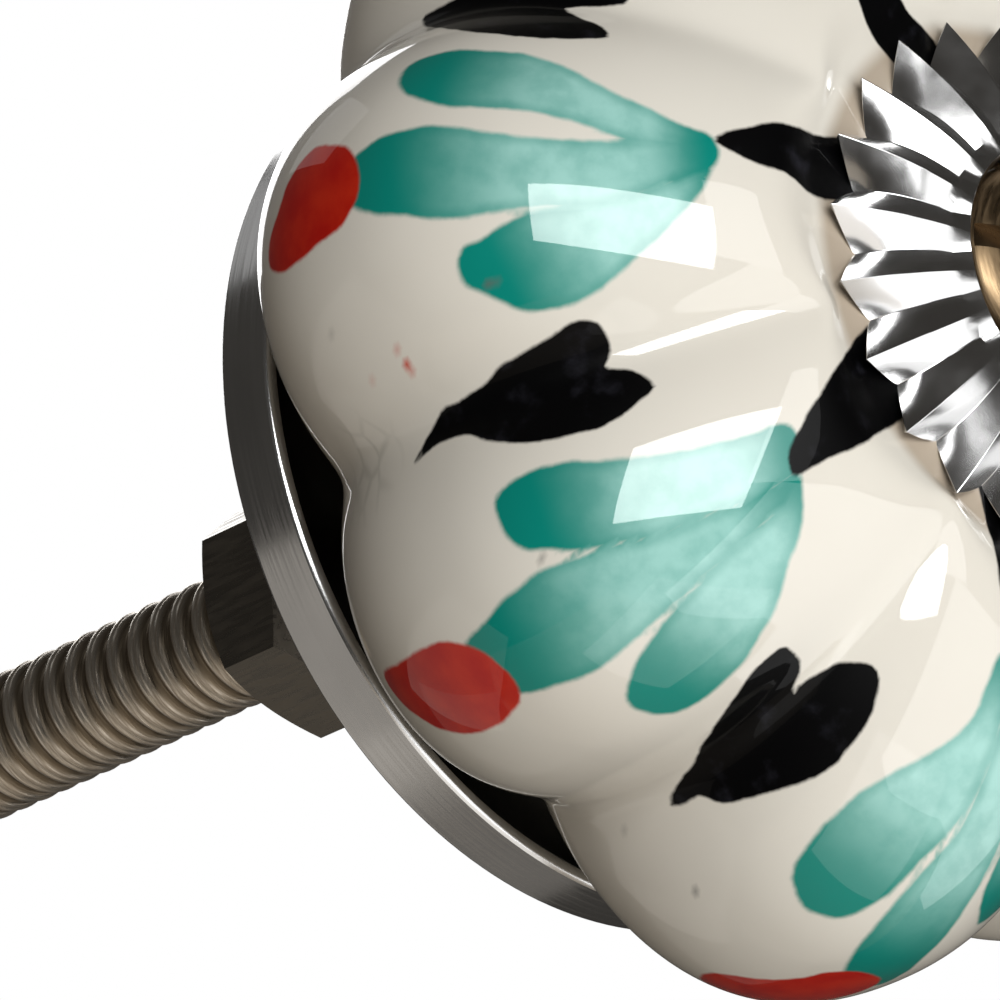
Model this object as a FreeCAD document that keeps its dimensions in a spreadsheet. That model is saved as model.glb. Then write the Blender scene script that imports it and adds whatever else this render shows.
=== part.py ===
import FreeCAD, Part
import math
import os
import Sketcher

Vector = FreeCAD.Vector

os.makedirs("parts", exist_ok=True)
doc = FreeCAD.newDocument("cabinet_knob")

# Driving sizes in millimetres, with a few counts and ratios.
SIZES = [
    ("bolt_radius", 2.38),
    ("bolt_chamfer", 0.4),
    ("bolt_end_depth", 34.0),
    ("thread_pitch", 1.04),
    ("thread_depth", 0.4),
    ("thread_flank", 0.36),
    ("thread_crest", 0.14),
    ("head_radius", 3.6),
    ("head_edge", 0.7),
    ("head_dome", 0.8),
    ("slot_width", 0.8),
    ("slot_depth", 0.7),
    ("plate_radius", 15.51),
    ("plate_height", 2.22),
    ("plate_wall", 0.75),
    ("plate_floor", 0.8),
    ("plate_lip", 0.45),
    ("plate_round", 0.45),
    ("hole_clearance", 0.12),
    ("body_clearance", 0.6),
    ("belly_radius", 20.89),
    ("belly_height", 11.45),
    ("back_reach", 10.17),
    ("front_height", 21.49),
    ("back_power", 2.63),
    ("front_power", 2.07),
    ("foot_radius", 11.4),
    ("lobe_turn", 0.6),
    ("brow_radius", 11.5),
    ("seat_radius", 9.5),
    ("seat_depth", 0.3),
    ("flute_outer", 8.9),
    ("flute_notch", 8.15),
    ("flute_inner", 4.3),
    ("flute_rise", 1.6),
    ("flute_depth", 0.5),
    ("sheet_thickness", 0.4),
    ("nut_flats", 7.85),
    ("nut_height", 3.15),
    ("nut_face", 3.85),
    ("nut_chamfer", 1.0),
    ("nut_drop", 0.58),
    ("nut_depth", 14.0),
    ("nut_turn", 46.2),
    ("flute_turn", 2.8),
]
FLUTES = 22
THREADS = 32

# One entry per lobe, then per groove after it: how far a hand thrown body strays from an even form.
LOBE_SWELL = (0.0, 0.008, -0.006, 0.038, -0.002, -0.012, 0.014, -0.005)
GROOVE_DEPTH = (0.13, 0.135, 0.128, 0.12, 0.115, 0.172, 0.157, 0.14)
GROOVE_SHIFT = (0.0, 0.01, -0.01, 0.018, -0.024, -0.06, 0.015, 0.0)
GROOVE_SOFTNESS = 0.024

sheet = doc.addObject("Spreadsheet::Sheet", "sizes")
for row, (name, value) in enumerate(SIZES, start=1):
    sheet.set(f"A{row}", name)
    sheet.set(f"B{row}", str(value))
    sheet.setAlias(f"B{row}", name)
doc.recompute()

# The knob's axis is each body's own Z. Turned, it points to the front along -Y.
TO_FRONT = FreeCAD.Rotation(Vector(1, 0, 0), 90)


def size(name):
    return float(sheet.get(name))


def total(terms):
    """Adds named sizes, such as 'plate_radius -plate_wall'."""
    result = 0.0
    for term in terms.split():
        sign = -1.0 if term.startswith("-") else 1.0
        result += sign * size(term.lstrip("-"))
    return result


def formula(terms):
    """Writes the same sum as an expression on the sheet."""
    parts = []
    for term in terms.split():
        sign = "-" if term.startswith("-") else "+"
        parts.append(f"{sign} sizes.{term.lstrip('-')}")
    return " ".join(parts).lstrip("+ ")


def new_body(label):
    body = doc.addObject("PartDesign::Body", label)
    body.Label = label
    return body


def new_sketch(body, name, role):
    plane = next(f for f in body.Origin.OriginFeatures if f.Role == role)
    sketch = body.newObject("Sketcher::SketchObject", name)
    sketch.AttachmentSupport = (plane, [""])
    sketch.MapMode = "FlatFace"
    return sketch


def bind(sketch, index, terms):
    sketch.setExpression(f"Constraints[{index}]", formula(terms))


def hold(sketch, line, end, corner):
    """Holds the start or end of a line at a distance named on the sheet, or on an axis where the name is empty."""
    for kind, axis, terms, place in (
        ("DistanceX", -2, corner[0], total(corner[0])),
        ("DistanceY", -1, corner[1], total(corner[1])),
    ):
        if terms:
            made = Sketcher.Constraint(kind, -1, 1, line, end, place)
            bind(sketch, sketch.addConstraint(made), terms)
        else:
            sketch.addConstraint(Sketcher.Constraint("PointOnObject", line, end, axis))


def outline(sketch, corners):
    """Closes a chain of straight lines through corners given as pairs of sums."""
    places = [Vector(total(x), total(y), 0) for x, y in corners]
    for start, stop in zip(places, places[1:] + places[:1]):
        sketch.addGeometry(Part.LineSegment(start, stop), False)
    for line in range(len(corners)):
        after = (line + 1) % len(corners)
        sketch.addConstraint(Sketcher.Constraint("Coincident", line, 2, after, 1))
    for line, corner in enumerate(corners):
        hold(sketch, line, 1, corner)


def turned(body, name, corners):
    """Turns an outline in the XZ plane about the body's Z axis."""
    sketch = new_sketch(body, name + "_outline", "XZ_Plane")
    outline(sketch, corners)
    doc.recompute()
    feature = body.newObject("PartDesign::Revolution", name)
    feature.Profile = sketch
    feature.ReferenceAxis = (sketch, ["V_Axis"])
    feature.Angle = 360.0
    doc.recompute()
    return feature


def round_circle(body, name, feature, radius, height, amount):
    """Rounds the circular edge of a feature that has this radius and height."""
    found = []
    for index, edge in enumerate(feature.Shape.Edges, start=1):
        if edge.Curve.TypeId == "Part::GeomCircle":
            near = abs(edge.Curve.Radius - radius) < 1e-4
            if near and abs(edge.Curve.Center.z - height) < 1e-4:
                found.append(f"Edge{index}")
    fillet = body.newObject("PartDesign::Fillet", name)
    fillet.Base = (feature, found)
    fillet.Radius = size(amount)
    fillet.setExpression("Radius", "sizes." + amount)
    doc.recompute()
    return fillet


def place(item, terms, turn=0.0):
    """Stands a body on the knob's axis, its own zero this far behind the wall face, turned by some degrees."""
    spin = FreeCAD.Rotation(Vector(0, 0, 1), turn)
    item.Placement = FreeCAD.Placement(Vector(0, total(terms), 0), TO_FRONT * spin)
    if terms:
        item.setExpression("Placement.Base.y", formula(terms))


# Back plate: a shallow tray whose flat back stands on the cabinet front.
back_plate = new_body("back_plate")
plate_turn = turned(back_plate, "tray", [
    ("bolt_radius hole_clearance", ""),
    ("plate_radius", ""),
    ("plate_radius", "plate_height -plate_lip"),
    ("plate_radius -plate_lip", "plate_height"),
    ("plate_radius -plate_wall", "plate_height"),
    ("plate_radius -plate_wall", "plate_floor"),
    ("bolt_radius hole_clearance", "plate_floor"),
])
round_circle(back_plate, "tray_round", plate_turn, size("plate_radius"), 0.0, "plate_round")
place(back_plate, "")

# Bolt: a low slotted head on a ringed shank, its own zero at the free end.
SHANK = "bolt_end_depth front_height -seat_depth sheet_thickness"
HEAD_TOP = SHANK + " head_edge head_dome"
bolt = new_body("bolt")
turned(bolt, "shank", [
    ("", ""),
    ("bolt_radius -bolt_chamfer", ""),
    ("bolt_radius", "bolt_chamfer"),
    ("bolt_radius", SHANK),
    ("head_radius", SHANK),
    ("head_radius", SHANK + " head_edge"),
    ("bolt_radius", HEAD_TOP),
    ("", HEAD_TOP),
])
NEXT_RING = "bolt_chamfer thread_pitch -thread_crest"
ring_sketch = new_sketch(bolt, "ring_outline", "XZ_Plane")
outline(ring_sketch, [
    ("bolt_radius", "bolt_chamfer"),
    ("bolt_radius thread_depth", "bolt_chamfer"),
    ("bolt_radius thread_depth", NEXT_RING),
    ("bolt_radius", NEXT_RING),
    ("bolt_radius -thread_depth", NEXT_RING + " -thread_flank"),
    ("bolt_radius -thread_depth", "bolt_chamfer thread_flank"),
])
doc.recompute()
ring = bolt.newObject("PartDesign::Groove", "thread_ring")
ring.Profile = ring_sketch
ring.ReferenceAxis = (ring_sketch, ["V_Axis"])
ring.Angle = 360.0
doc.recompute()
rings = bolt.newObject("PartDesign::LinearPattern", "thread_rings")
rings.Originals = [ring]
rings.Direction = (ring_sketch, ["V_Axis"])
rings.Length = size("thread_pitch") * (THREADS - 1)
rings.setExpression("Length", f"sizes.thread_pitch * {THREADS - 1}")
rings.Occurrences = THREADS
bolt.Tip = rings
doc.recompute()
slot_sketch = new_sketch(bolt, "slot_outline", "XY_Plane")
half_slot = size("slot_width") / 2
slot_reach = size("head_radius") + 1.0
slot_corners = [
    Vector(-slot_reach, -half_slot, 0),
    Vector(slot_reach, -half_slot, 0),
    Vector(slot_reach, half_slot, 0),
    Vector(-slot_reach, half_slot, 0),
]
for start, stop in zip(slot_corners, slot_corners[1:] + slot_corners[:1]):
    slot_sketch.addGeometry(Part.LineSegment(start, stop), False)
for line in range(4):
    slot_sketch.addConstraint(Sketcher.Constraint("Coincident", line, 2, (line + 1) % 4, 1))
for line in (0, 2):
    slot_sketch.addConstraint(Sketcher.Constraint("Horizontal", line))
    slot_sketch.addConstraint(Sketcher.Constraint("Vertical", line + 1))
slot_sketch.addConstraint(Sketcher.Constraint("Symmetric", 0, 1, 2, 1, -1, 1))
width = slot_sketch.addConstraint(Sketcher.Constraint("DistanceY", 1, 1, 1, 2, 2 * half_slot))
bind(slot_sketch, width, "slot_width")
slot_sketch.addConstraint(Sketcher.Constraint("DistanceX", 0, 1, 0, 2, 2 * slot_reach))
slot_sketch.AttachmentOffset = FreeCAD.Placement(Vector(0, 0, total(HEAD_TOP)), FreeCAD.Rotation())
slot_sketch.setExpression("AttachmentOffset.Base.z", formula(HEAD_TOP))
doc.recompute()
slot = bolt.newObject("PartDesign::Pocket", "slot")
slot.Profile = slot_sketch
slot.Length = size("slot_depth")
slot.setExpression("Length", "sizes.slot_depth")
place(bolt, "bolt_end_depth")
doc.recompute()

# Nut: a hexagon with one chamfered end, part-way along the bolt.
hex_nut = new_body("hex_nut")
hexagon = new_sketch(hex_nut, "hexagon", "XY_Plane")
corner = size("nut_flats") / math.sqrt(3)
hexagon_corners = [
    Vector(corner * math.cos(math.radians(60 * k)), corner * math.sin(math.radians(60 * k)), 0)
    for k in range(6)
]
for start, stop in zip(hexagon_corners, hexagon_corners[1:] + hexagon_corners[:1]):
    hexagon.addGeometry(Part.LineSegment(start, stop), False)
hexagon.addGeometry(Part.Circle(Vector(0, 0, 0), Vector(0, 0, 1), corner), True)
hexagon.addConstraint(Sketcher.Constraint("Coincident", 6, 3, -1, 1))
for line in range(6):
    hexagon.addConstraint(Sketcher.Constraint("Coincident", line, 2, (line + 1) % 6, 1))
    hexagon.addConstraint(Sketcher.Constraint("PointOnObject", line, 1, 6))
for line in range(5):
    hexagon.addConstraint(Sketcher.Constraint("Equal", line, line + 1))
hexagon.addConstraint(Sketcher.Constraint("PointOnObject", 0, 1, -1))
across = hexagon.addConstraint(Sketcher.Constraint("Radius", 6, corner))
hexagon.setExpression(f"Constraints[{across}]", "sizes.nut_flats / sqrt(3)")
hexagon.addGeometry(Part.Circle(Vector(0, 0, 0), Vector(0, 0, 1), size("bolt_radius")), False)
hexagon.addConstraint(Sketcher.Constraint("Coincident", 7, 3, -1, 1))
bore = hexagon.addConstraint(Sketcher.Constraint("Radius", 7, size("bolt_radius")))
bind(hexagon, bore, "bolt_radius")
doc.recompute()
prism = hex_nut.newObject("PartDesign::Pad", "prism")
prism.Profile = hexagon
prism.Length = size("nut_height")
prism.setExpression("Length", "sizes.nut_height")
doc.recompute()
chamfer_sketch = new_sketch(hex_nut, "chamfer_outline", "XZ_Plane")
outline(chamfer_sketch, [
    ("nut_face", "nut_height"),
    ("nut_face nut_chamfer", "nut_height"),
    ("nut_face nut_chamfer", "nut_height -nut_drop"),
])
doc.recompute()
chamfer = hex_nut.newObject("PartDesign::Groove", "chamfer")
chamfer.Profile = chamfer_sketch
chamfer.ReferenceAxis = (chamfer_sketch, ["V_Axis"])
chamfer.Angle = 360.0
place(hex_nut, "nut_depth", size("nut_turn"))
doc.recompute()


def lobed_reach(turn, fade):
    """Share of the full radius at an angle counted in lobes: one at a crest, less towards a groove."""
    lobe = math.floor(turn)
    share = turn - lobe
    middle = 0.5 + GROOVE_SHIFT[lobe % 8]
    if share < middle:
        share = 0.5 * share / middle
    else:
        share = 0.5 + 0.5 * (share - middle) / (1 - middle)
    soft = math.sqrt(GROOVE_SOFTNESS)
    swell = math.sqrt(math.cos(math.pi * share) ** 2 + GROOVE_SOFTNESS)
    swell = ((swell - soft) / (math.sqrt(1 + GROOVE_SOFTNESS) - soft)) ** 0.78
    blend = (1 - math.cos(math.pi * (turn - lobe))) / 2
    big = 1 + LOBE_SWELL[lobe % 8] * (1 - blend) + LOBE_SWELL[(lobe + 1) % 8] * blend
    return big * (1 - GROOVE_DEPTH[lobe % 8] * fade * (1 - swell))


def lobed_ring(radius, height, fade=1.0):
    """A closed curve with eight rounded lobes, drawn in to the grooves between them."""
    points = []
    for step in range(64):
        turn = step / 8
        reach = radius * lobed_reach(turn, fade)
        angle = math.radians(45 * turn + size("lobe_turn"))
        points.append(Vector(reach * math.cos(angle), reach * math.sin(angle), height))
    curve = Part.BSplineCurve()
    curve.interpolate(Points=points, PeriodicFlag=True)
    return Part.Wire([curve.toShape()])


def ceramic_rings():
    """Rings from the tray's floor over the belly and the brow down to the seat of the rosette."""
    belly = size("belly_height")
    floor = size("plate_floor")
    front = size("front_height")
    widest = size("belly_radius")
    foot = size("foot_radius")
    power = size("back_power")
    rings = [lobed_ring(foot, floor, 0.8)]
    for share in (0.12, 0.22, 0.36, 0.54, 0.76):
        height = floor + (belly - floor) * share
        sunk = min(1.0, ((belly - height) / size("back_reach")) ** power)
        rings.append(lobed_ring(max(foot, widest * (1 - sunk) ** (1 / power)), height))
    power = size("front_power")
    last = math.acos((size("brow_radius") / widest) ** (power / 2))
    for step in range(7):
        turn = last * step / 6
        rise = (math.sin(turn) / math.sin(last)) ** (2 / power)
        radius = widest * math.cos(turn) ** (2 / power)
        rings.append(lobed_ring(radius, belly + (front - belly) * rise))
    seat = size("seat_radius")
    middle = (size("brow_radius") + seat) / 2
    rings.append(lobed_ring(middle, front - size("seat_depth") * 0.2, 0.6))
    rings.append(lobed_ring(seat, front - size("seat_depth"), 0.2))
    return rings


# Ceramic body: a lobed melon form with a bore for the bolt.
melon = doc.addObject("Part::Feature", "melon")
melon.Shape = Part.makeLoft(ceramic_rings(), True, False)
bore_cut = doc.addObject("Part::Cylinder", "bore_cut")
bore_cut.Radius = size("bolt_radius") + size("body_clearance")
bore_cut.setExpression("Radius", "sizes.bolt_radius + sizes.body_clearance")
bore_cut.Height = 2 * size("front_height")
bore_cut.setExpression("Height", "2 * sizes.front_height")
bore_cut.Placement.Base.z = -5.0
ceramic_body = doc.addObject("Part::Cut", "ceramic_body")
ceramic_body.Label = "ceramic_body"
ceramic_body.Base = melon
ceramic_body.Tool = bore_cut
place(ceramic_body, "")
doc.recompute()


def skin_lines(upper):
    """Rows of points on one side of the pressed sheet, one row per half flute, from the hole out to the teeth."""
    hole = size("bolt_radius") + size("hole_clearance")
    inner = size("flute_inner")
    outer = size("flute_outer")
    sheet_face = size("sheet_thickness") if upper else 0.0
    wall = inner if upper else inner + size("sheet_thickness")
    lines = []
    for half in range(2 * FLUTES):
        ridge = half % 2 == 0
        reach = outer if ridge else size("flute_notch")
        profile = [(hole, sheet_face), (wall, sheet_face), (wall, size("flute_rise") + sheet_face)]
        for step in range(1, 5):
            share = step / 4
            radius = inner + (reach - inner) * share
            fall = ((radius - inner) / (outer - inner)) ** 1.7
            height = size("flute_rise") * (1 - fall) + sheet_face
            if not ridge:
                height -= size("flute_depth") * math.sin(math.pi * (0.15 + 0.55 * share))
            profile.append((radius, height))
        angle = math.pi * half / FLUTES
        lines.append([
            Vector(radius * math.cos(angle), radius * math.sin(angle), height)
            for radius, height in profile
        ])
    return lines


def flat_faces(first, second):
    """Two triangles for each step between two rows of points."""
    faces = []
    for step in range(len(first) - 1):
        a, b = first[step], first[step + 1]
        c, d = second[step + 1], second[step]
        faces.append(Part.Face(Part.makePolygon([a, b, c, a])))
        faces.append(Part.Face(Part.makePolygon([a, c, d, a])))
    return faces


def pressed_rosette():
    """The well and the flutes round it as one closed solid of sheet thickness."""
    upper = skin_lines(True)
    lower = skin_lines(False)
    faces = []
    for index in range(2 * FLUTES):
        after = (index + 1) % (2 * FLUTES)
        faces += flat_faces(upper[index], upper[after])
        faces += flat_faces(lower[index], lower[after])
        for end in (0, -1):
            faces += flat_faces(
                [upper[index][end], upper[after][end]], [lower[index][end], lower[after][end]]
            )
    shell = Part.makeShell(faces)
    shell.sewShape()
    solid = Part.Solid(shell)
    if solid.Volume < 0:
        solid.reverse()
    return solid


# Rosette: a pressed sheet of flutes with pointed teeth round a sunk well for the bolt's head.
front_rosette = doc.addObject("Part::Feature", "front_rosette")
front_rosette.Label = "front_rosette"
front_rosette.Shape = pressed_rosette()
place(front_rosette, "seat_depth -front_height", size("flute_turn"))
doc.recompute()

for item in doc.Objects:
    if "Invalid" in item.State or "Error" in item.State:
        raise RuntimeError(f"{item.Name} did not build: {item.State}")

for node in (ceramic_body, front_rosette, bolt, back_plate, hex_nut):
    shape = node.Shape
    if shape.isNull() or not shape.isValid():
        raise RuntimeError(f"{node.Label} has no valid shape")
    box = shape.BoundBox
    print(node.Label, len(shape.Solids), "solids", round(shape.Volume, 1), "mm3", [
        round(v, 2) for v in (box.XMin, box.XMax, box.YMin, box.YMax, box.ZMin, box.ZMax)
    ])
    shape.exportStep(f"parts/{node.Label}.step")
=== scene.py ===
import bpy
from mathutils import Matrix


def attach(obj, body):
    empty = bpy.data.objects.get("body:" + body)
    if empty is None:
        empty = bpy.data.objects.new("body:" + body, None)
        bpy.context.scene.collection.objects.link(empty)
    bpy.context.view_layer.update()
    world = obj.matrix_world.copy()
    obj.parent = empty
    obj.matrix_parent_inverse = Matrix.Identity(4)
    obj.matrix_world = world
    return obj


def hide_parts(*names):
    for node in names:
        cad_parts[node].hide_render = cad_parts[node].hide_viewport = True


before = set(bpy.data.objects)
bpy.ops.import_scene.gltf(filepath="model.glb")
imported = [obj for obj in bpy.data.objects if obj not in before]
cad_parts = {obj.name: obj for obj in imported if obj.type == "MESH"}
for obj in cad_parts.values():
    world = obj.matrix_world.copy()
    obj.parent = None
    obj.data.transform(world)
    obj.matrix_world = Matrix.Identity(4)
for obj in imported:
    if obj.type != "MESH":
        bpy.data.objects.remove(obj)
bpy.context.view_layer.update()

import math

import bmesh
import bpy
import numpy as np
from mathutils import Vector
from mathutils.bvhtree import BVHTree

bl_info = {
    "name": "Cabinet knob",
    "version": (1, 0, 0),
    "blender": (4, 5, 0),
    "location": "View3D > Sidebar > Knob",
    "description": "Builds a painted ceramic cabinet knob on its solids",
    "category": "Object",
}

MM = 0.001
LOBES = 8
BODY_COLUMNS = 128
BODY_TURN = 0.6

# How far each lobe, and the groove after it, strays from an even form, clockwise from the left in front view.
LOBE_SWELL = (0.0, 0.008, -0.006, 0.038, -0.002, -0.012, 0.014, -0.005)
GROOVE_DEPTH = (0.13, 0.135, 0.128, 0.12, 0.115, 0.172, 0.157, 0.14)
GROOVE_SHIFT = (0.0, 0.01, -0.01, 0.018, -0.024, -0.06, 0.015, 0.0)
GROOVE_SOFTNESS = 0.024
GROOVE_POWER = 0.78

# The outline behind a belly of this radius: radius and height in mm, and the share of the grooves' depth.
DRAWN_BELLY = 20.89
BACK_OUTLINE = (
    (11.40, 0.80, 0.80), (11.28, 1.10, 0.84), (11.21, 1.40, 0.89), (11.21, 1.70, 0.94), (11.34, 2.00, 0.98),
    (11.70, 2.30, 0.94), (12.61, 2.60, 0.94), (14.03, 2.90, 0.94), (15.09, 3.20, 0.94), (16.07, 3.60, 0.94),
    (16.80, 4.00, 0.94), (17.56, 4.50, 0.94), (18.21, 5.00, 0.94), (18.88, 5.60, 0.94), (19.49, 6.30, 1.0),
    (20.06, 7.20, 1.0), (20.49, 8.20, 1.0), (20.76, 9.30, 1.0), (20.88, 10.40, 1.0),
)


def length(label, text, default):
    return bpy.props.FloatProperty(name=label, description=text, default=default, unit="LENGTH", precision=5)


def paint(label, text, default):
    return bpy.props.FloatVectorProperty(
        name=label, description=text, default=default, subtype="COLOR", size=3, min=0.0, max=1.0
    )


class KnobSizes(bpy.types.PropertyGroup):
    belly_radius: length("Belly radius", "Radius of the ceramic at its widest", 0.020882)
    belly_height: length("Belly height", "Height of the widest ring above the wall face", 0.01145)
    front_height: length("Front height", "Height of the brow above the wall face", 0.02149)
    foot_radius: length("Foot radius", "Radius where the ceramic stands in its tray", 0.0114)
    brow_radius: length("Brow radius", "Radius of the front's highest ring", 0.0115)
    seat_radius: length("Seat radius", "Radius of the rosette's sunk seat", 0.0095)
    seat_depth: length("Seat depth", "Depth of the rosette's seat", 0.0003)
    bore_radius: length("Bore radius", "Radius of the ceramic's bore", 0.00298)
    plate_radius: length("Plate radius", "Radius of the back plate", 0.01551)
    plate_height: length("Plate height", "Height of the back plate's rim", 0.00222)
    plate_floor: length("Plate floor", "Thickness of the back plate's floor", 0.0008)
    flute_outer: length("Flute outer", "Radius of the rosette's teeth", 0.00913)
    flute_notch: length("Flute notch", "Radius between two teeth", 0.0077)
    flute_inner: length("Flute inner", "Radius of the rosette's well", 0.0043)
    flute_rise: length("Flute rise", "Height of the rosette's dome", 0.0015)
    sheet: length("Sheet", "Thickness of the rosette's sheet", 0.0004)
    bolt_radius: length("Bolt radius", "Outer radius of the thread", 0.00238)
    bolt_end: length("Bolt end", "How far the bolt runs behind the wall face", 0.034)
    thread_pitch: length("Thread pitch", "Distance between two turns of the thread", 0.00113)
    thread_depth: length("Thread depth", "Depth of the thread", 0.00026)
    head_radius: length("Head radius", "Radius of the bolt's head", 0.0036)
    nut_flats: length("Nut flats", "Distance across the nut's flats", 0.00794)
    nut_height: length("Nut height", "Thickness of the nut", 0.00335)
    nut_depth: length("Nut depth", "How far the nut's back is behind the wall face", 0.0142)


class KnobColours(bpy.types.PropertyGroup):
    glaze: paint("Glaze", "Colour of the clear glazed body", (0.72, 0.69, 0.615))
    black: paint("Black", "Colour of the dark leaves", (0.001, 0.001, 0.0012))
    red: paint("Red", "Colour of the oval dots", (0.45, 0.005, 0.001))
    teal: paint("Teal", "Colour of the thick ends of the petals", (0.0, 0.22, 0.175))
    pale: paint("Pale teal", "Colour of the thin middle of the petals", (0.33, 0.62, 0.56))
    chrome: paint("Chrome", "Colour of the bright plating", (0.72, 0.72, 0.72))
    steel: paint("Steel", "Colour of the bolt", (0.88, 0.82, 0.73))
    nickel: paint("Nickel", "Colour of the nut", (0.27, 0.25, 0.22))


# Modelling by hand: rings pulled one from another, then shaped in edit mode.


def clear_selection():
    if bpy.context.mode != "OBJECT":
        bpy.ops.object.mode_set(mode="OBJECT")
    bpy.ops.object.select_all(action="DESELECT")


def select_places(obj, indices):
    """Selects only these vertices of the mesh in edit mode."""
    bpy.ops.mesh.select_all(action="DESELECT")
    mesh = bmesh.from_edit_mesh(obj.data)
    mesh.verts.ensure_lookup_table()
    for index in indices:
        mesh.verts[index].select = True
    mesh.select_flush(True)
    bmesh.update_edit_mesh(obj.data)


def pull_rings(name, columns, rings, close):
    """Pulls a first circle through (radius, height) rings. close joins the last ring to the first."""
    clear_selection()
    radius, height = rings[0]
    bpy.ops.mesh.primitive_circle_add(
        vertices=columns, radius=radius, fill_type="NOTHING", location=(0, 0, height), rotation=(0, 0, 0)
    )
    obj = bpy.context.object
    obj.name = name
    bpy.ops.object.transform_apply(location=True, rotation=True, scale=True)
    bpy.ops.object.mode_set(mode="EDIT")
    bpy.ops.mesh.select_mode(type="VERT")
    bpy.ops.mesh.select_all(action="SELECT")
    for (r0, z0), (r1, z1) in zip(rings, rings[1:]):
        bpy.ops.mesh.extrude_region_move(TRANSFORM_OT_translate={"value": (0, 0, z1 - z0)})
        bpy.ops.transform.resize(value=(r1 / r0, r1 / r0, 1), center_override=(0, 0, 0))
    if close:
        count = len(bmesh.from_edit_mesh(obj.data).verts)
        ends = list(range(columns)) + list(range(count - columns, count))
        select_places(obj, ends)
        bpy.ops.mesh.bridge_edge_loops()
    return obj


def ring_index(columns, ring, column):
    return ring * columns + column % columns


def close_ends(obj, columns, rings):
    """Fills the first ring and the last."""
    for start in (0, columns * (rings - 1)):
        select_places(obj, range(start, start + columns))
        bpy.ops.mesh.edge_face_add()


def outward(obj):
    """Joins the points that meet and turns every face outward."""
    if obj.mode != "EDIT":
        clear_selection()
        obj.select_set(True)
        bpy.context.view_layer.objects.active = obj
        bpy.ops.object.mode_set(mode="EDIT")
    bpy.ops.mesh.select_all(action="SELECT")
    bpy.ops.mesh.remove_doubles(threshold=1e-6)
    bpy.ops.mesh.normals_make_consistent(inside=False)
    bpy.ops.object.mode_set(mode="OBJECT")


def apply_modifier(obj, kind, **settings):
    clear_selection()
    obj.select_set(True)
    bpy.context.view_layer.objects.active = obj
    modifier = obj.modifiers.new(kind.title(), kind)
    for key, value in settings.items():
        setattr(modifier, key, value)
    bpy.ops.object.modifier_apply(modifier=modifier.name)


def cut_with(obj, cutter, operation):
    apply_modifier(obj, "BOOLEAN", object=cutter, operation=operation, solver="EXACT")
    bpy.data.objects.remove(cutter)


def join(first, *others):
    clear_selection()
    for other in (first, *others):
        other.select_set(True)
    bpy.context.view_layer.objects.active = first
    bpy.ops.object.join()
    return first


def finish_piece(obj, node, material, turn=0.0, smooth=None):
    """Turns the piece from its own upright axis to the front, settles it and hands it to the frame."""
    clear_selection()
    obj.select_set(True)
    bpy.context.view_layer.objects.active = obj
    obj.rotation_euler = (0, 0, math.radians(turn))
    bpy.ops.object.transform_apply(location=True, rotation=True, scale=True)
    obj.rotation_euler = (math.radians(90), 0, 0)
    bpy.ops.object.transform_apply(location=True, rotation=True, scale=True)
    if smooth is None:
        bpy.ops.object.shade_smooth()
    else:
        bpy.ops.object.shade_smooth_by_angle(angle=math.radians(smooth))
    obj.data.materials.clear()
    obj.data.materials.append(material)
    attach(obj, "root")
    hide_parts(node)


# Materials: small helpers over shader nodes.


class Shader:
    """A material's nodes, added one by one and linked as they are named."""

    def __init__(self, name):
        self.material = bpy.data.materials.new(name)
        self.material.use_nodes = True
        self.tree = self.material.node_tree
        self.bsdf = self.tree.nodes["Principled BSDF"]

    def node(self, kind, **inputs):
        made = self.tree.nodes.new(kind)
        for key, value in inputs.items():
            self.give(made, key, value)
        return made

    def give(self, node, key, value):
        socket = node.inputs[int(key[1:])] if key[0] == "i" and key[1:].isdigit() else node.inputs[key]
        if isinstance(value, bpy.types.NodeSocket):
            self.tree.links.new(value, socket)
        elif hasattr(socket.default_value, "__len__") and not hasattr(value, "__len__"):
            socket.default_value = [value] * len(socket.default_value)
        elif hasattr(socket.default_value, "__len__"):
            socket.default_value = (*value, 1.0)[: len(socket.default_value)]
        else:
            socket.default_value = value

    def math(self, operation, first, second):
        made = self.tree.nodes.new("ShaderNodeMath")
        made.operation = operation
        self.give(made, "i0", first)
        self.give(made, "i1", second)
        return made.outputs[0]

    def attribute(self, name):
        made = self.tree.nodes.new("ShaderNodeAttribute")
        made.attribute_name = name
        return made.outputs["Fac"]

    def place(self):
        return self.node("ShaderNodeTexCoord").outputs["Object"]

    def reach(self, x, z):
        """Distance from the knob's axis."""
        squares = self.math("ADD", self.math("MULTIPLY", x, x), self.math("MULTIPLY", z, z))
        return self.math("POWER", squares, 0.5)

    def noise(self, scale, detail, vector=None):
        made = self.node("ShaderNodeTexNoise", Scale=scale, Detail=detail)
        self.give(made, "Vector", vector if vector is not None else self.place())
        return made.outputs["Fac"]

    def stretch(self, scale):
        made = self.node("ShaderNodeMapping", Vector=self.place(), Scale=scale)
        return made.outputs["Vector"]

    def ramp(self, value, low, high, to_low=0.0, to_high=1.0):
        made = self.node("ShaderNodeMapRange")
        made.interpolation_type = "SMOOTHSTEP"
        for key, item in zip(("Value", "From Min", "From Max", "To Min", "To Max"),
                             (value, low, high, to_low, to_high)):
            self.give(made, key, item)
        return made.outputs["Result"]

    def mix(self, factor, first, second):
        made = self.tree.nodes.new("ShaderNodeMix")
        made.data_type = "RGBA"
        self.give(made, "i0", factor)
        self.give(made, "i6", first)
        self.give(made, "i7", second)
        return made.outputs[2]

    def bump(self, height, strength, distance):
        made = self.node("ShaderNodeBump", Strength=strength, Distance=distance, Height=height)
        return made.outputs["Normal"]

    def set(self, **values):
        for key, value in values.items():
            self.give(self.bsdf, key.replace("_", " "), value)
        return self.material


METAL_GRIME = (0.25, 0.22, 0.18)


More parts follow.
